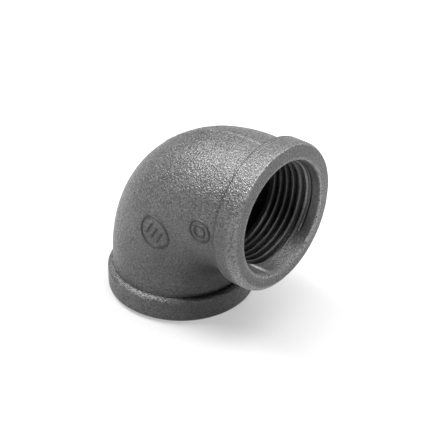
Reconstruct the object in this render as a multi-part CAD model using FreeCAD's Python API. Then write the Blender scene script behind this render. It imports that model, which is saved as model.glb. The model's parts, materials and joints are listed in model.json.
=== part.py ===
import FreeCAD, Part
import math
import os

# Banded 90 degree pipe elbow, malleable iron, 1 inch (DN 25), both ports threaded inside.
# Millimetres. The origin is the centre of the base port's face, which lies on Z = 0.
# The base port's axis runs up +Z, the outlet port faces +X, and Y = 0 is the plane of
# symmetry. The mould's joint lies close beside it. The real elbow is one casting: each
# sub-part is a zone of it, and neighbouring zones meet face to face.

# Standard sizes: centre to face of a 1 inch equal elbow, and its 11 threads per inch
CENTRE_TO_FACE = 38.0
THREAD_PITCH = 25.4 / 11
THREAD_MAJOR_RADIUS = 33.249 / 2
THREAD_MINOR_RADIUS = 30.291 / 2
THREAD_FLANK_ANGLE = 27.5

# The cast wall
BEND_RADIUS = 25.0
BODY_RADIUS = 20.4
CAVITY_RADIUS = 17.0

# The reinforcing band around each mouth
BAND_RADIUS = 22.2
BASE_BAND_WIDTH = 8.2
OUTLET_BAND_WIDTH = 7.4
BAND_FACE_RADIUS = 21.2
BAND_FRONT_SLOPE = 1.4
BAND_BACK_ROUND = 1.2

# The threaded mouth
MOUTH_RADIUS = 17.3
COUNTERSINK_HALF_ANGLE = 18.0
THREAD_LENGTH = 17.0
THREAD_RUN_OUT = 1.4
FIRST_GROOVE_DEPTH = -2.35
CREST_SECTORS = 8

# Raised marks on the -Y flank: each ring's centre as (x, z), its middle radius
LARGE_MARK_CENTRE = (7.75, 30.9)
LARGE_MARK_RADIUS = 5.0
SMALL_MARK_CENTRE = (24.5, 38.2)
SMALL_MARK_RADIUS = 3.4
SMALL_MARK_HUB_RADIUS = 1.8
MARK_LINE_WIDTH = 0.7
MARK_HEIGHT = 0.35
MARK_BAR_LENGTH = 4.6
MARK_BAR_SPACING = 2.1
MARK_BAR_COUNT = 3
MARK_BAR_LEAN = 30.0

# The low ridge that the joint of the mould leaves, beside the plane Y = 0
SEAM_WIDTH = 1.2
SEAM_HEIGHT = 0.2
SEAM_OFFSET = 0.8

# How far a cutting tool or an open volume reaches past what it cuts
PAST = 1.0

STRAIGHT_LENGTH = CENTRE_TO_FACE - BEND_RADIUS
BEND_CENTRE = FreeCAD.Vector(BEND_RADIUS, 0, STRAIGHT_LENGTH)
X_AXIS = FreeCAD.Vector(1, 0, 0)
Y_AXIS = FreeCAD.Vector(0, 1, 0)
Z_AXIS = FreeCAD.Vector(0, 0, 1)
ORIGIN = FreeCAD.Vector(0, 0, 0)


def at_outlet(base_shape):
    """A copy of a base port's shape, turned and moved to the outlet port."""
    shape = base_shape.copy()
    shape.rotate(ORIGIN, Y_AXIS, -90)
    shape.translate(FreeCAD.Vector(CENTRE_TO_FACE, 0, CENTRE_TO_FACE))
    return shape


def line(start, end):
    """A straight edge between two (radius, height) points in the plane Y = 0."""
    first = FreeCAD.Vector(start[0], 0, start[1])
    last = FreeCAD.Vector(end[0], 0, end[1])
    return Part.LineSegment(first, last).toShape()


def quarter_round(start, end, centre):
    """A round corner from start to end about a centre, all as (radius, height) points in
    the plane Y = 0."""
    radius = math.dist(start, centre)
    outward = [(start[i] + end[i]) / 2 - centre[i] for i in (0, 1)]
    scale = radius / math.hypot(*outward)
    middle = (centre[0] + outward[0] * scale, centre[1] + outward[1] * scale)
    points = [FreeCAD.Vector(r, 0, z) for r, z in (start, middle, end)]
    return Part.Arc(*points).toShape()


def ring(outer_radius, inner_radius, length):
    """A plain sleeve that stands on the base port's face."""
    outer = Part.makeCylinder(outer_radius, length)
    return outer.cut(Part.makeCylinder(inner_radius, length))


def swept_bend(radius):
    """A solid rod of this radius that follows the centreline round the quarter bend."""
    disc = Part.makeCircle(radius, FreeCAD.Vector(0, 0, STRAIGHT_LENGTH), Z_AXIS)
    return Part.Face(Part.Wire([disc])).revolve(BEND_CENTRE, Y_AXIS, 90)


def casting_outline(growth=0.0):
    """The outside of the bare elbow, without its bands, filled solid and grown evenly."""
    rod = Part.makeCylinder(BODY_RADIUS + growth, STRAIGHT_LENGTH)
    return swept_bend(BODY_RADIUS + growth).fuse([rod, at_outlet(rod)])


def mouth_countersink():
    """The conical lead-in that opens each mouth."""
    end_radius = THREAD_MINOR_RADIUS - PAST
    depth = (MOUTH_RADIUS - end_radius) / math.tan(math.radians(COUNTERSINK_HALF_ANGLE))
    return Part.makeCone(MOUTH_RADIUS, end_radius, depth)


def port_socket():
    """The straight cast wall behind one mouth, round the threaded sleeve."""
    return ring(BODY_RADIUS, CAVITY_RADIUS, STRAIGHT_LENGTH).cut(mouth_countersink())


def port_band(width):
    """The thicker band round one mouth: a flat face, a sloped front, a rounded back."""
    back = BAND_RADIUS - BAND_BACK_ROUND
    back_corner = quarter_round(
        (BAND_RADIUS, width - BAND_BACK_ROUND), (back, width), (back, width - BAND_BACK_ROUND)
    )
    outline = [
        line((BODY_RADIUS, 0), (BAND_FACE_RADIUS, 0)),
        line((BAND_FACE_RADIUS, 0), (BAND_RADIUS, BAND_FRONT_SLOPE)),
        line((BAND_RADIUS, BAND_FRONT_SLOPE), (BAND_RADIUS, width - BAND_BACK_ROUND)),
        back_corner,
        line((back, width), (BODY_RADIUS, width)),
        line((BODY_RADIUS, width), (BODY_RADIUS, 0)),
    ]
    return Part.Face(Part.Wire(outline)).revolve(ORIGIN, Z_AXIS, 360)


def bored_sleeve():
    """The thread's stock: a sleeve whose bore is made of equal sectors, so that the crest
    that the groove leaves is a chain of short cylinder faces round and along the bore."""
    step = 2 * math.pi / CREST_SECTORS
    arcs = []
    for sector in range(CREST_SECTORS):
        points = []
        for angle in (sector * step, (sector + 0.5) * step, (sector + 1) * step):
            x = THREAD_MINOR_RADIUS * math.cos(angle)
            y = THREAD_MINOR_RADIUS * math.sin(angle)
            points.append(FreeCAD.Vector(x, y, 0))
        arcs.append(Part.Arc(*points).toShape())
    outer = Part.Wire([Part.makeCircle(CAVITY_RADIUS, ORIGIN, Z_AXIS)])
    section = Part.makeFace([outer, Part.Wire(arcs)], "Part::FaceMakerBullseye")
    return section.extrude(Z_AXIS * THREAD_LENGTH)


def thread_groove():
    """The right-hand helical groove of the thread, from outside the mouth to the run-out."""
    room = THREAD_LENGTH - THREAD_RUN_OUT - FIRST_GROOVE_DEPTH
    turns = math.floor(room / THREAD_PITCH)
    cone_angle = 0.0
    helix = Part.makeLongHelix(
        THREAD_PITCH, turns * THREAD_PITCH, THREAD_MINOR_RADIUS, cone_angle
    )
    helix.translate(Z_AXIS * FIRST_GROOVE_DEPTH)
    flank = math.tan(math.radians(THREAD_FLANK_ANGLE))
    open_radius = THREAD_MINOR_RADIUS - THREAD_PITCH / 10
    root = THREAD_PITCH / 12
    mouth = root + (THREAD_MAJOR_RADIUS - open_radius) * flank
    corners = [
        (open_radius, FIRST_GROOVE_DEPTH - mouth),
        (THREAD_MAJOR_RADIUS, FIRST_GROOVE_DEPTH - root),
        (THREAD_MAJOR_RADIUS, FIRST_GROOVE_DEPTH + root),
        (open_radius, FIRST_GROOVE_DEPTH + mouth),
    ]
    sides = [line(corners[i], corners[(i + 1) % 4]) for i in range(4)]
    return helix.makePipeShell([Part.Wire(sides)], True, True)


def port_thread():
    """One port's threaded sleeve: countersunk bore with the groove cut into it."""
    return bored_sleeve().cut(mouth_countersink()).cut(thread_groove())


def bend_wall():
    """The curved wall, with the cored passage and a seat for the end of each sleeve."""
    passage = swept_bend(CAVITY_RADIUS)
    side = 2 * (CENTRE_TO_FACE + BODY_RADIUS)
    open_corner = FreeCAD.Vector(CENTRE_TO_FACE - THREAD_LENGTH - side, -side / 2, THREAD_LENGTH)
    passage = passage.common(Part.makeBox(side, side, side, open_corner))
    seat = Part.makeCylinder(CAVITY_RADIUS, THREAD_LENGTH)
    return swept_bend(BODY_RADIUS).cut([passage, seat, at_outlet(seat)])


def raised_on_flank(pattern):
    """Cast relief: the part of a pattern, standing across the -Y flank, that rises just
    above the elbow's own surface."""
    return pattern.common(casting_outline(MARK_HEIGHT)).cut(casting_outline())


def flank_disc(centre, radius):
    """A short rod that stands across the -Y flank, ready for raised_on_flank."""
    start = FreeCAD.Vector(centre[0], -(BODY_RADIUS + PAST), centre[1])
    return Part.makeCylinder(radius, BODY_RADIUS / 2, start, Y_AXIS)


def flank_ring(centre, radius):
    """A ring of the marks' line width, ready for raised_on_flank."""
    half_line = MARK_LINE_WIDTH / 2
    return flank_disc(centre, radius + half_line).cut(flank_disc(centre, radius - half_line))


def large_cast_mark():
    """A ring round a plain row of leaning bars."""
    x, z = LARGE_MARK_CENTRE
    pattern = [flank_ring(LARGE_MARK_CENTRE, LARGE_MARK_RADIUS)]
    for i in range(MARK_BAR_COUNT):
        offset = (i - (MARK_BAR_COUNT - 1) / 2) * MARK_BAR_SPACING
        corner = FreeCAD.Vector(
            x + offset - MARK_LINE_WIDTH / 2, -(BODY_RADIUS + PAST), z - MARK_BAR_LENGTH / 2
        )
        bar = Part.makeBox(MARK_LINE_WIDTH, BODY_RADIUS / 2, MARK_BAR_LENGTH, corner)
        bar.rotate(FreeCAD.Vector(x, 0, z), Y_AXIS, MARK_BAR_LEAN)
        pattern.append(bar)
    return raised_on_flank(Part.makeCompound(pattern))


def small_cast_mark():
    """A ring round a smaller ring."""
    rim = flank_ring(SMALL_MARK_CENTRE, SMALL_MARK_RADIUS)
    hub = flank_ring(SMALL_MARK_CENTRE, SMALL_MARK_HUB_RADIUS)
    return raised_on_flank(Part.makeCompound([rim, hub]))


def mould_seam(side):
    """The ridge where the two halves of the mould met, from band to band: round the inside
    of the bend for side +1, round the outside for side -1."""
    corner = FreeCAD.Vector(0, SEAM_OFFSET - SEAM_WIDTH / 2, 0)
    strip = Part.makeBox(BAND_RADIUS, SEAM_WIDTH, STRAIGHT_LENGTH, corner)
    straight = ring(BODY_RADIUS + SEAM_HEIGHT, BODY_RADIUS, STRAIGHT_LENGTH).common(strip)
    opposite = straight.mirror(ORIGIN, X_AXIS)
    at_base, beyond = (straight, opposite) if side > 0 else (opposite, straight)
    end_face = max(at_base.Faces, key=lambda face: face.CenterOfMass.z)
    curve = end_face.revolve(BEND_CENTRE, Y_AXIS, 90)
    bands = [Part.makeCylinder(BAND_RADIUS, BASE_BAND_WIDTH)]
    bands.append(at_outlet(Part.makeCylinder(BAND_RADIUS, OUTLET_BAND_WIDTH)))
    return curve.fuse([at_base, at_outlet(beyond)]).cut(bands)


def single(shape):
    """The shape as a plain solid, or as a compound of its separate solids."""
    return shape.Solids[0] if len(shape.Solids) == 1 else Part.makeCompound(shape.Solids)


socket = port_socket()
thread = port_thread()

parts = {
    "bend": bend_wall(),
    "base_socket": socket,
    "base_band": port_band(BASE_BAND_WIDTH),
    "base_thread": thread,
    "outlet_socket": at_outlet(socket),
    "outlet_band": at_outlet(port_band(OUTLET_BAND_WIDTH)),
    "outlet_thread": at_outlet(thread),
    "large_cast_mark": large_cast_mark(),
    "small_cast_mark": small_cast_mark(),
    "outer_mould_seam": mould_seam(-1),
    "inner_mould_seam": mould_seam(1),
}

os.makedirs("parts", exist_ok=True)
for name, shape in parts.items():
    solid = single(shape)
    solid.exportStep(f"parts/{name}.step")
    print(f"{name}: {len(solid.Solids)} solid(s), {solid.Volume:.1f} mm3, valid {solid.isValid()}")
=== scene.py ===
import json
import math
from collections import namedtuple

import bmesh
import bpy
import numpy as np
from mathutils import Matrix, Vector, noise


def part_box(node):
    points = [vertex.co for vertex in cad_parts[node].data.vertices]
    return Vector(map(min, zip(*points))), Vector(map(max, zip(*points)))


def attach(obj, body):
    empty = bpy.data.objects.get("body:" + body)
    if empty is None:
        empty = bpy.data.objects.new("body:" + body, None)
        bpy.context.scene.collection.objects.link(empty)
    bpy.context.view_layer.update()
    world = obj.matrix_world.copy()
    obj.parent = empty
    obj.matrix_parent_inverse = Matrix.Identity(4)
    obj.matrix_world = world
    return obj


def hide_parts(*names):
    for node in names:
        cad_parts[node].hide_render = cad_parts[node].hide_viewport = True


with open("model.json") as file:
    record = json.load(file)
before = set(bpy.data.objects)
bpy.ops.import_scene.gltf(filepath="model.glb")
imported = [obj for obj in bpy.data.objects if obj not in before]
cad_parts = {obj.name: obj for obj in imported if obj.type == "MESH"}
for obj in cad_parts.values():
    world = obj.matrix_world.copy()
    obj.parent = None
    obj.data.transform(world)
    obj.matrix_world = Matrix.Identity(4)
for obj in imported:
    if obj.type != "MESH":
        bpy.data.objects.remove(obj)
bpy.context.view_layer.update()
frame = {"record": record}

# A banded 90 degree pipe elbow in black malleable iron, threaded inside both mouths.
# The base port stands on the floor and the outlet port faces +X. Shapes are worked out in
# millimetres, and turned into metres when a mesh is made.
MM = 0.001


def box_mm(node):
    """Lowest and highest corner of a CAD node, in millimetres."""
    low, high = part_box(node)
    return np.array(low) / MM, np.array(high) / MM


# ---- Sizes from the frame -------------------------------------------------------------
OUTLET_BAND_TOP = box_mm("outlet_band")[1]
CENTRE_TO_FACE = OUTLET_BAND_TOP[0]
BAND_LIMIT_RADIUS = OUTLET_BAND_TOP[1]
BAND_WIDTHS = {
    "base": box_mm("base_band")[1][2],
    "outlet": CENTRE_TO_FACE - box_mm("outlet_band")[0][0],
}
BODY_RADIUS = box_mm("base_socket")[1][1]
STRAIGHT = box_mm("base_socket")[1][2]
CAVITY_RADIUS = box_mm("base_thread")[1][1]
THREAD_LENGTH = box_mm("base_thread")[1][2]
MOUNTS = {mount["name"]: mount for mount in frame["record"]["mounts"]}
CREST_RADIUS = MOUNTS["base_port"]["dims"]["r_mm"]
BEND_RADIUS = CENTRE_TO_FACE - STRAIGHT
BEND_LENGTH = BEND_RADIUS * math.pi / 2
PATH_LENGTH = 2 * STRAIGHT + BEND_LENGTH

# ---- The casting ----------------------------------------------------------------------
# Unevenness that the sand mould leaves: wavelength and height of each layer of noise, and how
# far the layers are moved apart
RELIEF_LAYERS = ((18.0, 0.10), (6.0, 0.03), (1.7, 0.022), (0.95, 0.016))
RELIEF_SHIFT = 7.31
# How much the wall swells in the middle of the bend
BODY_BULGE = 0.16
# The casting starts inside each band, this far from the port's face. Its mesh has rows at
# these spacings along the outer skin and the cavity.
CASTING_START = 5.2
CASTING_SPACING = 0.4
CAVITY_SPACING = 1.2
CASTING_COLUMNS = 320
# Points nearer than this are one point
WELD_DISTANCE = 0.001

# ---- The bands ------------------------------------------------------------------------
# The ring stays inside the CAD's by this much, so that its relief has room
RELIEF_ROOM = 0.04
BAND_RADIUS = BAND_LIMIT_RADIUS - RELIEF_ROOM
FACE_RADIUS = 21.2
FACE_EDGE_ROUND = 0.12
BAND_FRONT_SLOPE = 1.35
BAND_FRONT_ROUND = 1.5
BAND_BACK_ROUNDS = {"base": 1.5, "outlet": 0.9}
BAND_FOOT_DIP = 0.35
# The ring's foot: how deep it is buried in the wall, how far behind the thread's front end it
# starts, and how far the lip in front of it overlaps the thread
BAND_FOOT_BURIED = 1.2
BAND_FOOT_START = 0.4
LIP_OVERLAP = 0.02
# How uneven the ring and its face are, as shares of the casting's relief, and the distance
# over which that changes at the mouth and at the rim of the face
BAND_RELIEF_SHARE = 0.5
FACE_RELIEF_SHARE = 0.3
RELIEF_FADE = 1.0
BAND_COLUMNS = 400
PROFILE_SPACING = 0.2
# The face isn't quite centred on the bore: how far its rim is off and to which side, and how
# far that reaches inwards from the rim and backwards from the face
FACE_SKEWS = {"base": (0.55, math.radians(120)), "outlet": (0.75, math.radians(335))}
FACE_SKEW_REACH = 1.0
FACE_SKEW_DEPTH = 2.0
# The bands are a little flatter on one side: by how much, from how far outside the body, and
# round which clock position
FLAT_SIDE = 0.3
FLAT_START = 0.5
FLAT_PATCH = (math.radians(112), 0.6)

# ---- Wear, painted light and painted shade --------------------------------------------
# How far each reaches from the edge or corner that it follows. The lip's wear is brightest a
# little outside the mouth's edge.
LIP_OFFSET = 0.1
LIP_WIDTH = 0.7
RIM_WIDTH = 0.25
SLOPE_WIDTH = 1.5
SHOULDER_WIDTH = 1.2
CREVICE_WIDTHS = {"base": 0.45, "outlet": 1.1}
FACE_LIGHT_DEPTH = 0.3
# The painted shade in the corner behind a band starts and is full at these distances from its
# back
BACK_SHADE_REACH = (0.8, 0.3)
# How strong each is: 1 of wear or painted light is as bright as bare metal, and 1 of painted
# shade is nearly black
FACE_WEAR = 0.09
FACE_PAINTED_LIGHT = 0.3
LIP_WEAR = 0.7
RIM_WEAR = 0.35
SLOPE_HIGHLIGHT = 0.95
SHOULDER_HIGHLIGHT = 0.45
THROAT_PAINTED_SHADE = 0.6
BASE_PAINTED_SHADOW = 0.8
# The clock position in the middle of each local patch, and how widely it spreads
FACE_LIGHT_PATCH = (math.radians(90), 0.9)
SLOPE_HIGHLIGHT_PATCH = (math.radians(222), 0.9)
SHOULDER_HIGHLIGHT_PATCH = (math.radians(307), 0.65)
BASE_SHADOW_PATCH = (math.radians(325), 0.5)
# The throat is the inside of the bend, which gets painted shade. Its weight is full up to the
# first of these angles from its middle, and ends at the second.
THROAT_EDGES = (math.radians(35), math.radians(62))

# ---- The threaded mouths --------------------------------------------------------------
MOUTH_RADIUS = 17.3
MOUTH_ROUND = 0.7
COUNTERSINK_SLOPE = math.tan(math.radians(18))
THREAD_START = 0.5
# The sleeve that the thread is cut in is buried in the wall by this much
SLEEVE_BURIED = 0.6
THREAD_PITCH = 25.4 / 11
THREAD_DEPTH = 1.479
# The depth that the groove would have if its 55 degree flanks met in a point
THREAD_SHARP_DEPTH = THREAD_PITCH / 2 / math.tan(math.radians(55 / 2))
# The depth of the first crest at clock position 0, and how far edges are rounded, in turns
THREAD_CREST_DEPTH = 3.42
THREAD_ROUNDING = 0.035
# The thread runs out between these depths
THREAD_FADE_START = 14.4
THREAD_FADE_END = 16.4
THREAD_POINTS_PER_TURN = 16
THREAD_COLUMNS = 288
# The depth at which the countersink is fully uneven, behind the clean edge of the mouth
CONE_RELIEF_DEPTH = 1.5
# Wear of the countersink and of the lands behind it, and the depths between which one becomes
# the other
CONE_WEAR = 1.1
LAND_WEAR = 1.3
LAND_DEPTHS = (3.0, 3.4)
# Painted shade in the grooves and how far down them it is full, painted shade for each
# millimetre of depth, and painted shade on one side of the mouth
GROOVE_SHADE = 2.6
GROOVE_SHADE_DEPTH = THREAD_DEPTH / 2.6
DEEP_SHADE = 0.07
MOUTH_SHADE = 0.7
MOUTH_SHADE_PATCH = (math.radians(130), 0.5)
# The first land is bright along its crest, with painted shadow beside it. Places are in
# turns of the helix.
FIRST_CREST_WEAR = 0.55
FIRST_LAND_SHADOW = 1.1
FIRST_LAND_SIDES = (0.08, 0.22)
FIRST_LAND_ENDS = (0.5, 0.45)
# The clock positions between which the countersink has taken the first turn away
LOST_TURN_START = (math.radians(125), math.radians(160))
LOST_TURN_END = (math.radians(265), math.radians(225))
# A painted glint: the bright crescent where the tap first bit, inside the outlet's mouth
GLINT_CLOCK = math.radians(207)
GLINT_DEPTH = 4.2
GLINT_SLANT = 0.66
GLINT_REACH = 2.5
GLINT_WIDTH = 0.7
GLINT_BRIGHTNESS = 2.2

# ---- Raised marks and mould seam ------------------------------------------------------
MARK_LINE_WIDTH = 0.7
MARK_HEIGHT = 0.28
RING_COLUMNS = 96
BAR_COLUMNS = 32
MARK_BAR_COUNT = 3
MARK_BAR_SPACING = 2.1
MARK_BAR_LENGTH = 4.6
MARK_BAR_LEAN = math.radians(30)
SMALL_MARK_HUB_SHARE = 0.53
SEAM_WIDTH = 1.1
SEAM_HEIGHT = 0.17
# The seam's height varies along it: its usual share, and how much noise adds to that
SEAM_CREST = 0.6
SEAM_RIPPLE = 0.7
# Cross-section of a raised line: share of its half width, share of its height
LINE_SECTION = ((-1.5, -0.5), (-1.15, 0.0), (-0.8, 0.45), (-0.5, 0.86), (-0.2, 1.0),
                (0.2, 1.0), (0.5, 0.86), (0.8, 0.45), (1.15, 0.0), (1.5, -0.5))


def smooth_step(value, start, end):
    """Rises smoothly from 0 at start to 1 at end."""
    share = np.clip((value - start) / (end - start), 0, 1)
    return share * share * (3 - 2 * share)


def peak(value, middle, half_width):
    """A smooth peak of height 1."""
    return np.exp(-((value - middle) / half_width) ** 2)


def relief(points):
    """Height of the sand-cast unevenness at each point."""
    height = np.zeros(points.shape[:-1])
    for layer, (wavelength, amount) in enumerate(RELIEF_LAYERS):
        places = (points / wavelength + layer * RELIEF_SHIFT).reshape(-1, 3)
        values = np.array([noise.noise(Vector(place)) for place in places.tolist()])
        height += amount * values.reshape(height.shape)
    return height


# A grid of points [row, column] in millimetres, whether its rows and its columns join up at
# their ends, and its wear and painted light and shade there: 1 is as bright as bare metal, -1 is
# the darkest painted shade
Sheet = namedtuple("Sheet", "points wrap_rows wrap_columns wear", defaults=(0.0,))


def mesh_of(name, *sheets):
    """One smooth closed mesh from sheets of quads."""
    vertices = []
    faces = []
    wear = []
    for sheet in sheets:
        rows, columns = sheet.points.shape[:2]
        index = len(vertices) + np.arange(rows * columns).reshape(rows, columns)
        if sheet.wrap_rows:
            index = np.vstack([index, index[:1]])
        if sheet.wrap_columns:
            index = np.hstack([index, index[:, :1]])
        corners = (index[:-1, :-1], index[:-1, 1:], index[1:, 1:], index[1:, :-1])
        faces.extend(np.stack(corners, -1).reshape(-1, 4).tolist())
        vertices.extend((sheet.points * MM).reshape(-1, 3).tolist())
        wear.extend((sheet.wear + np.zeros((rows, columns))).ravel().tolist())
    mesh = bpy.data.meshes.new(name)
    mesh.from_pydata(vertices, [], faces)
    mesh.attributes.new("wear", "FLOAT", "POINT").data.foreach_set("value", wear)
    shape = bmesh.new()
    shape.from_mesh(mesh)
    bmesh.ops.remove_doubles(shape, verts=shape.verts, dist=WELD_DISTANCE * MM)
    open_edges = [edge for edge in shape.edges if edge.is_boundary]
    bmesh.ops.holes_fill(shape, edges=open_edges, sides=0)
    bmesh.ops.recalc_face_normals(shape, faces=shape.faces)
    for face in shape.faces:
        face.smooth = True
    shape.to_mesh(mesh)
    shape.free()
    return mesh


def add_piece(name, mesh, material, slot, *nodes):
    """Shows the mesh in place of these CAD nodes."""
    thing = bpy.data.objects.new(name, mesh)
    bpy.context.scene.collection.objects.link(thing)
    mesh.materials.append(material)
    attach(thing, "root")
    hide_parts(*nodes)
    return thing


# ---- Places on the elbow --------------------------------------------------------------
def on_path(along, radius, angle):
    """Points at a distance along the centreline from the base face, a radius from it and an
    angle round it: 0 on the outside of the bend, a quarter turn on the -Y flank."""
    turn = np.clip((along - STRAIGHT) / BEND_RADIUS, 0, math.pi / 2)
    rise = np.minimum(along, STRAIGHT) + BEND_RADIUS * np.sin(turn)
    run = BEND_RADIUS * (1 - np.cos(turn)) + np.maximum(along - STRAIGHT - BEND_LENGTH, 0)
    outward = radius * np.cos(angle)
    x = run - outward * np.cos(turn)
    y = -radius * np.sin(angle)
    z = rise + outward * np.sin(turn)
    return np.stack([x, y, z], -1)


def in_throat(angle):
    """1 on the inside of the bend, which gets painted shade, and 0 on its outside and flanks."""
    return smooth_step(np.abs(angle - math.pi), THROAT_EDGES[1], THROAT_EDGES[0])


def bulge(along):
    """How much fatter the casting is in the middle of its bend."""
    share = np.clip((along - STRAIGHT) / BEND_LENGTH, 0, 1)
    return BODY_BULGE * np.sin(math.pi * share) ** 2


def on_skin(along, angle, rise=0.0):
    """Points this far above the casting's uneven outer skin."""
    nominal = on_path(along, BODY_RADIUS + 0 * angle, angle)
    return on_path(along, BODY_RADIUS + bulge(along) + relief(nominal) + rise, angle)


def on_flank(x, z, rise):
    """Points above the skin of the -Y flank, found from their places in side view."""
    turn = np.clip(np.arctan2(z - STRAIGHT, BEND_RADIUS - x), 0, math.pi / 2)
    past_x = np.maximum(x - BEND_RADIUS, 0)
    past_z = np.minimum(z - STRAIGHT, 0)
    centre_x = BEND_RADIUS * (1 - np.cos(turn)) + past_x
    centre_z = STRAIGHT + BEND_RADIUS * np.sin(turn) + past_z
    aside = np.hypot(x - centre_x, z - centre_z)
    nominal = np.stack([x, -np.sqrt(BODY_RADIUS ** 2 - aside ** 2), z], -1)
    radius = BODY_RADIUS + bulge(STRAIGHT + BEND_RADIUS * turn) + relief(nominal) + rise
    return np.stack([x, -np.sqrt(radius ** 2 - aside ** 2), z], -1)


def at_port(port, depth, radius, clock):
    """Points inside a port: the depth from its face, and the radius and angle about its
    axis."""
    aside = radius * np.cos(clock)
    y = radius * np.sin(clock)
    if port == "base":
        return np.stack([aside, y, depth + 0 * aside], -1)
    return np.stack([CENTRE_TO_FACE - depth + 0 * aside, y, CENTRE_TO_FACE + aside], -1)


# ---- The bare casting -----------------------------------------------------------------
def casting_mesh():
    """The curved wall between the bands, with its cored passage."""
    end = PATH_LENGTH - CASTING_START
    outer_rows = round((end - CASTING_START) / CASTING_SPACING)
    inner_rows = round((end - CASTING_START) / CAVITY_SPACING)
    angle = np.linspace(0, 2 * math.pi, CASTING_COLUMNS, endpoint=False)
    outer_along = np.linspace(CASTING_START, end, outer_rows)
    inner_along = np.linspace(end, CASTING_START, inner_rows)
    base_foot = peak(outer_along, BAND_WIDTHS["base"], CREVICE_WIDTHS["base"])
    outlet_foot = peak(PATH_LENGTH - outer_along, BAND_WIDTHS["outlet"], CREVICE_WIDTHS["outlet"])
    throat = in_throat(angle)
    foot = base_foot[:, None] * throat + outlet_foot[:, None]
    outer = on_skin(*np.meshgrid(outer_along, angle, indexing="ij"), -BAND_FOOT_DIP * foot)
    along, around = np.meshgrid(inner_along, angle, indexing="ij")
    inner = on_path(along, CAVITY_RADIUS + 0 * around, around)
    # Painted shade at the bands' feet and in the throat of the bend, and the darkest painted shade
    # all over the cored passage
    wear = np.vstack([-np.maximum(foot, THROAT_PAINTED_SHADE * throat), np.full(around.shape, -1.0)])
    return mesh_of("casting", Sheet(np.vstack([outer, inner]), True, True, wear))


# ---- The bands ------------------------------------------------------------------------
def rounded_outline(corners, spacing):
    """Points along an outline of straight runs, with each corner rounded by its radius. A
    corner is (depth, radius, rounding), and the points are spaced evenly."""
    path = []
    for i, (depth, radius, rounding) in enumerate(corners):
        corner = np.array([depth, radius])
        before = np.array(corners[i - 1][:2]) - corner
        after = np.array(corners[(i + 1) % len(corners)][:2]) - corner
        before /= np.linalg.norm(before)
        after /= np.linalg.norm(after)
        half_angle = math.acos(np.clip(before @ after, -1, 1)) / 2
        reach = rounding / math.tan(half_angle)
        middle = before + after
        middle *= rounding / math.sin(half_angle) / np.linalg.norm(middle)
        start = before * reach - middle
        sweep = math.pi - 2 * half_angle
        side = np.sign(before[0] * after[1] - before[1] * after[0])
        steps = max(2, math.ceil(rounding * sweep / spacing) + 1)
        for step in np.linspace(0, 1, steps if rounding else 1):
            swing = -side * sweep * step
            cosine = math.cos(swing)
            sine = math.sin(swing)
            turned = np.array([start[0] * cosine - start[1] * sine,
                               start[0] * sine + start[1] * cosine])
            path.append(corner + middle + turned)
    path = np.array(path)
    filled = []
    for first, last in zip(path, np.roll(path, -1, axis=0)):
        count = max(1, math.ceil(np.linalg.norm(last - first) / spacing))
        filled.extend(first + (last - first) * k / count for k in range(count))
    return np.array(filled)


def countersink_radius(depth):
    """Radius of the conical lead-in at a depth inside the mouth."""
    return MOUTH_RADIUS - COUNTERSINK_SLOPE * depth


def band_wear_and_painted_light(port, depth, radius, around):
    """How worn a band is at each place, with its painted light and shade. The outlet's band has
    painted light on one side of its face and a painted highlight on its front slope, and the
    base's a painted highlight on its shoulder and painted shadow beside that. Both have painted
    shade in the corner behind them, the base's only towards the throat."""
    width = BAND_WIDTHS[port]
    lip = peak(radius, MOUTH_RADIUS + LIP_OFFSET, LIP_WIDTH)
    rim = peak(radius, FACE_RADIUS, RIM_WIDTH)
    # Painted shade in the corner behind the band
    back = smooth_step(width - depth, *BACK_SHADE_REACH)
    wear = (depth < MOUTH_ROUND) * (FACE_WEAR + LIP_WEAR * lip + RIM_WEAR * rim)
    if port == "outlet":
        # Painted highlight on the lower side of the front slope
        slope = peak(depth, BAND_FRONT_SLOPE, SLOPE_WIDTH) * (radius > BODY_RADIUS)
        wear += SLOPE_HIGHLIGHT * slope * peak(around, *SLOPE_HIGHLIGHT_PATCH)
        # Painted light on one side of the face
        wear += FACE_PAINTED_LIGHT * (depth < FACE_LIGHT_DEPTH) * peak(around, *FACE_LIGHT_PATCH)
        return wear - back
    # Painted highlight on the base band's shoulder
    shoulder = peak(depth - radius, width - BAND_RADIUS, SHOULDER_WIDTH)
    wear += SHOULDER_HIGHLIGHT * shoulder * peak(around, *SHOULDER_HIGHLIGHT_PATCH)
    # Painted shadow on the base band's side under the outlet
    wear -= BASE_PAINTED_SHADOW * peak(around, *BASE_SHADOW_PATCH) * (radius > BODY_RADIUS)
    return wear - back * in_throat((around + math.pi) % (2 * math.pi))


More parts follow.
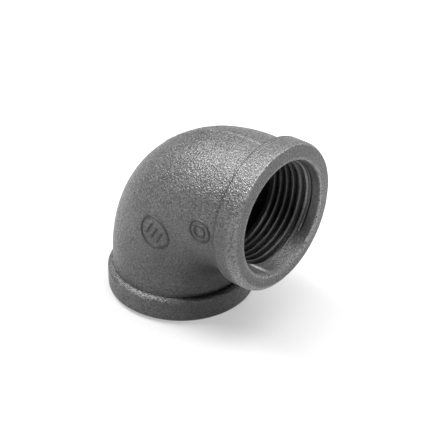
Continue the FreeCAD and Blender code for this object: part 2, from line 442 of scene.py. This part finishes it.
def band_mesh(port):
    """One band: the mouth's edge, the face, and a ring whose foot is buried in the wall."""
    buried = BODY_RADIUS - BAND_FOOT_BURIED
    width = BAND_WIDTHS[port]
    lip_end = THREAD_START + LIP_OVERLAP
    corners = (
        (lip_end, countersink_radius(lip_end), 0),
        (0, MOUTH_RADIUS, MOUTH_ROUND),
        (0, FACE_RADIUS, FACE_EDGE_ROUND),
        (BAND_FRONT_SLOPE, BAND_RADIUS, BAND_FRONT_ROUND),
        (width, BAND_RADIUS, BAND_BACK_ROUNDS[port]),
        (width, buried, 0),
        (THREAD_START + BAND_FOOT_START, buried, 0),
    )
    outline = rounded_outline(corners, PROFILE_SPACING)
    along = np.roll(outline, -1, axis=0) - np.roll(outline, 1, axis=0)
    along /= np.linalg.norm(along, axis=1)[:, None]
    outward = np.stack([-along[:, 1], along[:, 0]], -1)
    clock = np.linspace(0, 2 * math.pi, BAND_COLUMNS, endpoint=False)
    depth, around = np.meshgrid(outline[:, 0], clock, indexing="ij")
    radius = np.broadcast_to(outline[:, 1:], depth.shape)
    on_ring = smooth_step(depth, 0, RELIEF_FADE)
    past_lip = smooth_step(radius, MOUTH_RADIUS, MOUTH_RADIUS + RELIEF_FADE)
    share = (FACE_RELIEF_SHARE + (BAND_RELIEF_SHARE - FACE_RELIEF_SHARE) * on_ring) * past_lip
    height = relief(at_port(port, depth, radius, around)) * share
    wear = band_wear_and_painted_light(port, depth, radius, around)
    amount, skew_clock = FACE_SKEWS[port]
    skew = amount * np.cos(around - skew_clock)
    skew *= smooth_step(radius, FACE_RADIUS - FACE_SKEW_REACH, FACE_RADIUS)
    skew *= smooth_step(radius, BAND_RADIUS, FACE_RADIUS)
    flat = FLAT_SIDE * peak(around, *FLAT_PATCH) * (radius > BODY_RADIUS + FLAT_START)
    depth = np.maximum(depth + outward[:, :1] * height, 0)
    radius = radius + outward[:, 1:] * height + skew * (depth < FACE_SKEW_DEPTH) - flat
    radius = np.minimum(radius, BAND_LIMIT_RADIUS)
    points = at_port(port, depth, radius, around)
    return mesh_of(f"{port}_band_ring", Sheet(points, True, True, wear))


# ---- The threads ----------------------------------------------------------------------
def lost_turn(around):
    """1 where the countersink has taken the first turn away, and 0 where the turn is whole."""
    return smooth_step(around, *LOST_TURN_START) * smooth_step(around, *LOST_TURN_END)


def thread_wear_and_painted_light(port, depth, around, sunk, turns):
    """How worn a thread is at each place, from how far it is sunk below the lands and how many
    turns it is from the first crest, with painted shade in its grooves, deeper in and on one
    side of the mouth, painted shadow beside the first crest and a painted glint in the outlet's
    mouth."""
    wear = CONE_WEAR + (LAND_WEAR - CONE_WEAR) * smooth_step(depth, *LAND_DEPTHS)
    # Painted shade in the grooves and deeper into the bore
    wear -= GROOVE_SHADE * smooth_step(sunk, 0, GROOVE_SHADE_DEPTH) + DEEP_SHADE * depth
    # Painted shade on one side of the mouth
    wear -= MOUTH_SHADE * peak(around, *MOUTH_SHADE_PATCH)
    from_crest = np.abs(turns)
    first_land = smooth_step(from_crest, *FIRST_LAND_ENDS) * (1 - lost_turn(around))
    sides = smooth_step(from_crest, *FIRST_LAND_SIDES)
    # Painted shadow beside the first land's bright crest
    wear += first_land * (FIRST_CREST_WEAR - FIRST_LAND_SHADOW * sides)
    if port == "outlet":
        # Painted glint on the crescent where the tap first bit
        across = (around - GLINT_CLOCK) * MOUTH_RADIUS
        slanted = depth - GLINT_DEPTH - GLINT_SLANT * across
        wear += GLINT_BRIGHTNESS * peak(across, 0, GLINT_REACH) * peak(slanted, 0, GLINT_WIDTH)
    return wear


def thread_mesh(port):
    """One port's right-hand thread. The rows of the mesh follow the helix, so that every
    crest and root is a clean line, and bunch up where the sleeve ends."""
    step = THREAD_PITCH / THREAD_POINTS_PER_TURN
    first = THREAD_CREST_DEPTH - THREAD_PITCH * math.ceil(THREAD_CREST_DEPTH / THREAD_PITCH + 1)
    helix_rows = np.arange(first, THREAD_LENGTH + step, step)
    clock = np.linspace(0, 2 * math.pi, THREAD_COLUMNS + 1)
    row, around = np.meshgrid(helix_rows, clock, indexing="ij")
    depth = np.clip(row + THREAD_PITCH * around / (2 * math.pi), THREAD_START, THREAD_LENGTH)
    turns = (depth - THREAD_CREST_DEPTH) / THREAD_PITCH - around / (2 * math.pi)
    rounded = np.zeros(depth.shape)
    shifts = (-THREAD_ROUNDING, 0, THREAD_ROUNDING)
    for shift in shifts:
        triangle = 4 * np.abs((turns + shift) % 1 - 0.5) - 1
        height = triangle * THREAD_SHARP_DEPTH / 2
        rounded += np.clip(height, -THREAD_DEPTH / 2, THREAD_DEPTH / 2) / len(shifts)
    cut = THREAD_DEPTH / 2 - rounded
    cut *= 1 - smooth_step(depth, THREAD_FADE_START, THREAD_FADE_END)
    cut *= 1 - lost_turn(around) * (turns < 0)
    uneven = relief(at_port(port, depth, CREST_RADIUS + cut, around))
    cone = countersink_radius(depth) + uneven * smooth_step(depth, THREAD_START, CONE_RELIEF_DEPTH)
    land = np.maximum(CREST_RADIUS + uneven, cone)
    radius = np.maximum(CREST_RADIUS + cut + uneven, cone)
    bore = at_port(port, depth, radius, around)
    outer = CAVITY_RADIUS + SLEEVE_BURIED + 0 * clock
    front = at_port(port, THREAD_START, outer, clock)
    back = at_port(port, THREAD_LENGTH, outer, clock)
    wear = thread_wear_and_painted_light(port, depth, around, radius - land, turns)
    wear = np.vstack([wear, np.zeros((2, len(clock)))])
    points = np.vstack([bore, back[None], front[None]])
    return mesh_of(f"{port}_thread_turns", Sheet(points, True, False, wear))


# ---- Raised marks ---------------------------------------------------------------------
def line_section(width, height):
    """The cross-section of a raised line, as (offset from its middle, rise) pairs."""
    return [(across * width / 2, up * height) for across, up in LINE_SECTION]


def ring_sheet(centre, radius):
    """A raised ring on the -Y flank."""
    clock = np.linspace(0, 2 * math.pi, RING_COLUMNS, endpoint=False)
    rows = []
    for offset, rise in line_section(MARK_LINE_WIDTH, MARK_HEIGHT):
        x = centre[0] + (radius + offset) * np.cos(clock)
        z = centre[1] + (radius + offset) * np.sin(clock)
        rows.append(on_flank(x, z, rise))
    return Sheet(np.array(rows), True, True)


def bar_sheet(centre, length, lean):
    """A raised bar with round ends on the -Y flank."""
    clock = np.linspace(-math.pi / 2, 3 * math.pi / 2, BAR_COLUMNS, endpoint=False)
    end = np.where(clock < math.pi / 2, 1, -1) * (length - MARK_LINE_WIDTH) / 2
    rows = []
    for offset, rise in line_section(MARK_LINE_WIDTH, MARK_HEIGHT)[len(LINE_SECTION) // 2:][::-1]:
        along = end + offset * np.cos(clock)
        across = offset * np.sin(clock)
        x = centre[0] + along * math.sin(lean) + across * math.cos(lean)
        z = centre[1] + along * math.cos(lean) - across * math.sin(lean)
        rows.append(on_flank(x, z, rise))
    return Sheet(np.array(rows), False, True)


def mark_place(node):
    """Centre in side view and middle radius of a ring-shaped CAD mark."""
    low, high = box_mm(node)
    centre = (low + high)[[0, 2]] / 2
    radius = (high - low)[0] / 2 - MARK_LINE_WIDTH / 2
    return centre, radius


def large_mark_mesh():
    """A ring round a plain row of leaning bars."""
    centre, radius = mark_place("large_cast_mark")
    sheets = [ring_sheet(centre, radius)]
    for i in range(MARK_BAR_COUNT):
        offset = (i - (MARK_BAR_COUNT - 1) / 2) * MARK_BAR_SPACING
        place = centre + offset * np.array([math.cos(MARK_BAR_LEAN), -math.sin(MARK_BAR_LEAN)])
        sheets.append(bar_sheet(place, MARK_BAR_LENGTH, MARK_BAR_LEAN))
    return mesh_of("large_mark_relief", *sheets)


def small_mark_mesh():
    """A ring round a smaller ring."""
    centre, radius = mark_place("small_cast_mark")
    hub = radius * SMALL_MARK_HUB_SHARE
    return mesh_of("small_mark_relief", ring_sheet(centre, radius), ring_sheet(centre, hub))


def seam_mesh(name, middle_angle):
    """The low ridge that the mould's joint leaves, from the foot of one band to the other."""
    along = np.arange(BAND_WIDTHS["base"], PATH_LENGTH - BAND_WIDTHS["outlet"], CASTING_SPACING)
    middle = on_path(along, BODY_RADIUS + 0 * along, middle_angle + 0 * along)
    ripple = np.array([noise.noise(Vector(place)) for place in middle.tolist()])
    crest = SEAM_CREST + SEAM_RIPPLE * ripple
    rows = []
    for offset, rise in line_section(SEAM_WIDTH, 1.0):
        angle = middle_angle + offset / BODY_RADIUS + 0 * along
        rows.append(on_skin(along, angle, rise * SEAM_HEIGHT * crest))
    return mesh_of(name, Sheet(np.array(rows), True, False))


# ---- Materials ------------------------------------------------------------------------
# The values between which nearly all of a noise texture lies
NOISE_RANGE = (0.3, 0.7)
# The grain's spots are darker and rougher or lighter and smoother than the iron by this much
GRAIN_DARKENS = 0.9
GRAIN_ROUGHENS = 0.1
GRAIN_LIGHTENS = 1.1
GRAIN_SMOOTHS = 0.12
# Height of the bumps in millimetres
GRAIN_HEIGHT = 0.31
LUMP_HEIGHT = 0.11
# The tones of the clouds, of burnished iron and painted glints, and of painted shade, as shares
# of the tone without them
CLOUD_TONES = (0.8, 1.2)
BURNISHED_AND_GLINT_TONE = 5.0
PAINTED_SHADE_TONE = 0.15
WORN_ROUGHNESS = 0.35
IRON_IOR = 1.55


def add_node(tree, kind, inputs=None, **settings):
    """A shader node with its settings, and its inputs given as values or as sockets."""
    made = tree.nodes.new(kind)
    for name, value in settings.items():
        setattr(made, name, value)
    for name, value in (inputs or {}).items():
        if isinstance(value, bpy.types.NodeSocket):
            tree.links.new(value, made.inputs[name])
        else:
            made.inputs[name].default_value = value
    return made


def new_material(name):
    """An empty node material: its tree, its coordinates and its output."""
    material = bpy.data.materials.new(name)
    material.use_nodes = True
    tree = material.node_tree
    tree.nodes.clear()
    place = add_node(tree, "ShaderNodeTexCoord").outputs["Object"]
    output = add_node(tree, "ShaderNodeOutputMaterial")
    return material, tree, place, output


def noise_value(tree, place, size, detail=2.0, roughness=0.5):
    """Noise whose lumps measure about this many millimetres."""
    inputs = {"Vector": place, "Scale": 1 / (size * MM), "Detail": detail, "Roughness": roughness}
    return add_node(tree, "ShaderNodeTexNoise", inputs).outputs["Fac"]


def product(tree, first, second):
    """Two values or sockets, multiplied."""
    return add_node(tree, "ShaderNodeMath", {0: first, 1: second}, operation="MULTIPLY").outputs[0]


def stretched(tree, value, low, high, to_low, to_high):
    """The value, stretched from one range to another and held there."""
    ranges = {"From Min": low, "From Max": high, "To Min": to_low, "To Max": to_high}
    return add_node(tree, "ShaderNodeMapRange", {"Value": value, **ranges}).outputs[0]


def grey(tree, shade):
    """A grey colour whose brightness is this socket's value."""
    inputs = {"Red": shade, "Green": shade, "Blue": shade}
    return add_node(tree, "ShaderNodeCombineColor", inputs).outputs[0]


def bump(tree, height, distance, **below):
    """A bumpy normal whose noise is this many millimetres high, on top of any normal below."""
    inputs = {"Strength": 1.0, "Distance": distance * MM, "Height": height, **below}
    return add_node(tree, "ShaderNodeBump", inputs).outputs[0]


def cast_iron(name, tone=0.035, roughness=0.4, grain=1.0, wear_and_highlight_tone=4.0):
    """Black malleable iron with the grain of its sand mould. Its attribute of wear and painted
    light makes it bright and smooth where it is worn or has painted light, brighter still where
    it is burnished or has a painted glint, and dark where it has painted shade."""
    material, tree, place, output = new_material(name)
    speckle = noise_value(tree, place, size=0.5, detail=1.5, roughness=0.6)
    lumps = noise_value(tree, place, size=0.8, detail=2.0, roughness=0.55)
    clouds = noise_value(tree, place, size=7.0, detail=4.0, roughness=0.6)
    wear = add_node(tree, "ShaderNodeAttribute", attribute_name="wear").outputs["Fac"]
    grain_tones = (1 - GRAIN_DARKENS * grain, 1 + GRAIN_LIGHTENS * grain)
    factors = (
        stretched(tree, speckle, *NOISE_RANGE, *grain_tones),
        stretched(tree, clouds, *NOISE_RANGE, *CLOUD_TONES),
        stretched(tree, wear, 0.0, 1.0, 1.0, wear_and_highlight_tone),
        stretched(tree, wear, 1.0, 2.0, 1.0, BURNISHED_AND_GLINT_TONE),
        stretched(tree, wear, -1.0, 0.0, PAINTED_SHADE_TONE, 1.0),
    )
    shade = tone
    for factor in factors:
        shade = product(tree, factor, shade)
    rough_range = (roughness + GRAIN_ROUGHENS, roughness - GRAIN_SMOOTHS)
    rough = stretched(tree, speckle, *NOISE_RANGE, *rough_range)
    smoother = stretched(tree, wear, 0.0, 1.0, 1.0, WORN_ROUGHNESS / roughness)
    coarse = bump(tree, lumps, LUMP_HEIGHT * grain)
    inputs = {
        "Base Color": grey(tree, shade),
        "Roughness": product(tree, rough, smoother),
        "IOR": IRON_IOR,
        "Normal": bump(tree, speckle, GRAIN_HEIGHT * grain, Normal=coarse),
    }
    shader = add_node(tree, "ShaderNodeBsdfPrincipled", inputs)
    tree.links.new(shader.outputs[0], output.inputs["Surface"])
    return material


def plain_floor():
    """A pale floor whose glow is painted light. It glows less close to the elbow, as a painted
    contact shadow, and less far away from it, leaving a painted pool of light round the elbow."""
    material, tree, place, output = new_material("studio_paper")
    tooth = noise_value(tree, place, size=1.5, detail=3.0)
    shade = stretched(tree, tooth, *NOISE_RANGE, *FLOOR_TONES)
    away = add_node(tree, "ShaderNodeVectorMath", {0: place}, operation="LENGTH").outputs["Value"]
    near = stretched(tree, away, *CONTACT_SHADOW_REACH, *FLOOR_PAINTED_GLOW)
    far = stretched(tree, away, *GLOW_POOL_EDGE_REACH, 1.0, FAR_FLOOR_SHARE)
    inputs = {
        "Base Color": grey(tree, shade),
        "Roughness": 0.9,
        "Specular IOR Level": 0.1,
        "Emission Color": (1, 1, 1, 1),
        "Emission Strength": product(tree, near, far),
    }
    shader = add_node(tree, "ShaderNodeBsdfPrincipled", inputs)
    tree.links.new(shader.outputs[0], output.inputs["Surface"])
    return material


# ---- Light, floor and camera ----------------------------------------------------------
# The camera stands on the -Y side and is turned this far towards the outlet
CAMERA_AZIMUTH = math.radians(39.87)
CAMERA_ELEVATION = math.radians(32.6)
CAMERA_DISTANCE = 470.2
CAMERA_LENS = 135.3
# The place that it aims at, from the base's axis at the height of the outlet's
AIM_RIGHT = 10.05
AIM_UP = -12.09
# Soft boxes: the direction they shine from, their distance and size in metres, and their
# power in watts
SOFT_BOXES = {
    "key": ((-0.46, -0.19, 0.87), 0.9, 0.38, 17.3),
    "top": ((0.05, 0.2, 1.0), 1.2, 1.2, 29.0),
    "front": ((-0.2, -0.97, 0.1), 1.0, 0.7, 5.5),
    "back": ((-0.2, 1.0, 0.6), 1.0, 0.8, 4.0),
    "right": ((0.85, -0.15, 0.55), 1.0, 0.6, 6.0),
}
# How bright the room is as a light, and how bright the camera sees it
WORLD_STRENGTH = 0.02
ROOM_TONE = 0.95
# The floor's size from its middle in metres, and its darkest and lightest tone
FLOOR_REACH = 3.0
FLOOR_TONES = (0.185, 0.195)
# The floor's glow is painted light. It rises between these distances from the elbow, in
# metres, out of a painted contact shadow. Farther away, it falls again to a share of that.
FLOOR_PAINTED_GLOW = (0.43, 0.9)
CONTACT_SHADOW_REACH = (0.025, 0.085)
GLOW_POOL_EDGE_REACH = (0.09, 0.3)
FAR_FLOOR_SHARE = 0.4


def add_camera():
    """The photo's camera."""
    right = Vector((math.cos(CAMERA_AZIMUTH), math.sin(CAMERA_AZIMUTH), 0))
    back = Vector((math.sin(CAMERA_AZIMUTH) * math.cos(CAMERA_ELEVATION),
                   -math.cos(CAMERA_AZIMUTH) * math.cos(CAMERA_ELEVATION),
                   math.sin(CAMERA_ELEVATION)))
    up = back.cross(right)
    aim = Vector((0, 0, CENTRE_TO_FACE)) + AIM_RIGHT * right + AIM_UP * up
    data = bpy.data.cameras.new("camera")
    data.lens = CAMERA_LENS
    camera = bpy.data.objects.new("camera", data)
    bpy.context.scene.collection.objects.link(camera)
    camera.matrix_world = Matrix.Translation((aim + CAMERA_DISTANCE * back) * MM) @ Matrix(
        (right, up, back)).transposed().to_4x4()
    bpy.context.scene.camera = camera


def add_soft_box(name, direction, distance, size, power):
    """A square soft box that faces the elbow from this direction."""
    data = bpy.data.lights.new(name, "AREA")
    data.shape = "SQUARE"
    data.size = size
    data.energy = power
    light = bpy.data.objects.new(name, data)
    bpy.context.scene.collection.objects.link(light)
    light.location = Vector(direction).normalized() * distance
    light.rotation_euler = Vector(direction).to_track_quat("Z", "Y").to_euler()


def add_pale_room():
    """A room that gives faint, even light from all round and looks pale to the camera."""
    world = bpy.data.worlds.new("pale_room")
    world.use_nodes = True
    tree = world.node_tree
    seen = add_node(tree, "ShaderNodeLightPath").outputs["Is Camera Ray"]
    strength = stretched(tree, seen, 0, 1, WORLD_STRENGTH, ROOM_TONE)
    tree.nodes["Background"].inputs["Color"].default_value = (1, 1, 1, 1)
    tree.links.new(strength, tree.nodes["Background"].inputs["Strength"])
    bpy.context.scene.world = world


def add_floor():
    """The pale floor that the elbow stands on."""
    signs = ((-1, -1), (1, -1), (1, 1), (-1, 1))
    corners = [(x * FLOOR_REACH, y * FLOOR_REACH, 0) for x, y in signs]
    mesh = bpy.data.meshes.new("floor")
    mesh.from_pydata(corners, [], [(0, 1, 2, 3)])
    mesh.materials.append(plain_floor())
    floor = bpy.data.objects.new("floor", mesh)
    bpy.context.scene.collection.objects.link(floor)


casting_skin = cast_iron("cast_skin", grain=1.1)
cut_skin = cast_iron("cut_thread", tone=0.016, grain=0.45, wear_and_highlight_tone=5.0)
mark_skin = cast_iron("mark_skin", tone=0.006, roughness=0.6, grain=0.3)
# The base band's iron is a darker copy of the casting's: painted shade for the band down by the
# floor
base_shaded_skin = cast_iron("base_band_skin", tone=0.03, grain=1.3)
outlet_skin = cast_iron("outlet_band_skin", tone=0.032)
seam_skin = cast_iron("seam_skin", tone=0.05)

add_piece("casting", casting_mesh(), casting_skin, "cast_skin",
          "bend", "base_socket", "outlet_socket")
for port, band_skin in (("base", base_shaded_skin), ("outlet", outlet_skin)):
    add_piece(f"{port}_band_ring", band_mesh(port), band_skin, "cast_skin", f"{port}_band")
    add_piece(f"{port}_thread_turns", thread_mesh(port), cut_skin, "cut_thread", f"{port}_thread")
add_piece("large_mark_relief", large_mark_mesh(), mark_skin, "cast_skin", "large_cast_mark")
add_piece("small_mark_relief", small_mark_mesh(), mark_skin, "cast_skin", "small_cast_mark")
seam_turn = math.asin(np.mean(box_mm("outer_mould_seam"), axis=0)[1] / BODY_RADIUS)
for side, middle_angle in (("outer", -seam_turn), ("inner", math.pi + seam_turn)):
    ridge = seam_mesh(f"{side}_seam_ridge", middle_angle)
    add_piece(f"{side}_seam_ridge", ridge, seam_skin, "cast_skin", f"{side}_mould_seam")
add_floor()
add_pale_room()
for name, settings in SOFT_BOXES.items():
    add_soft_box(name, *settings)
add_camera()
bpy.context.scene.view_settings.view_transform = "Standard"
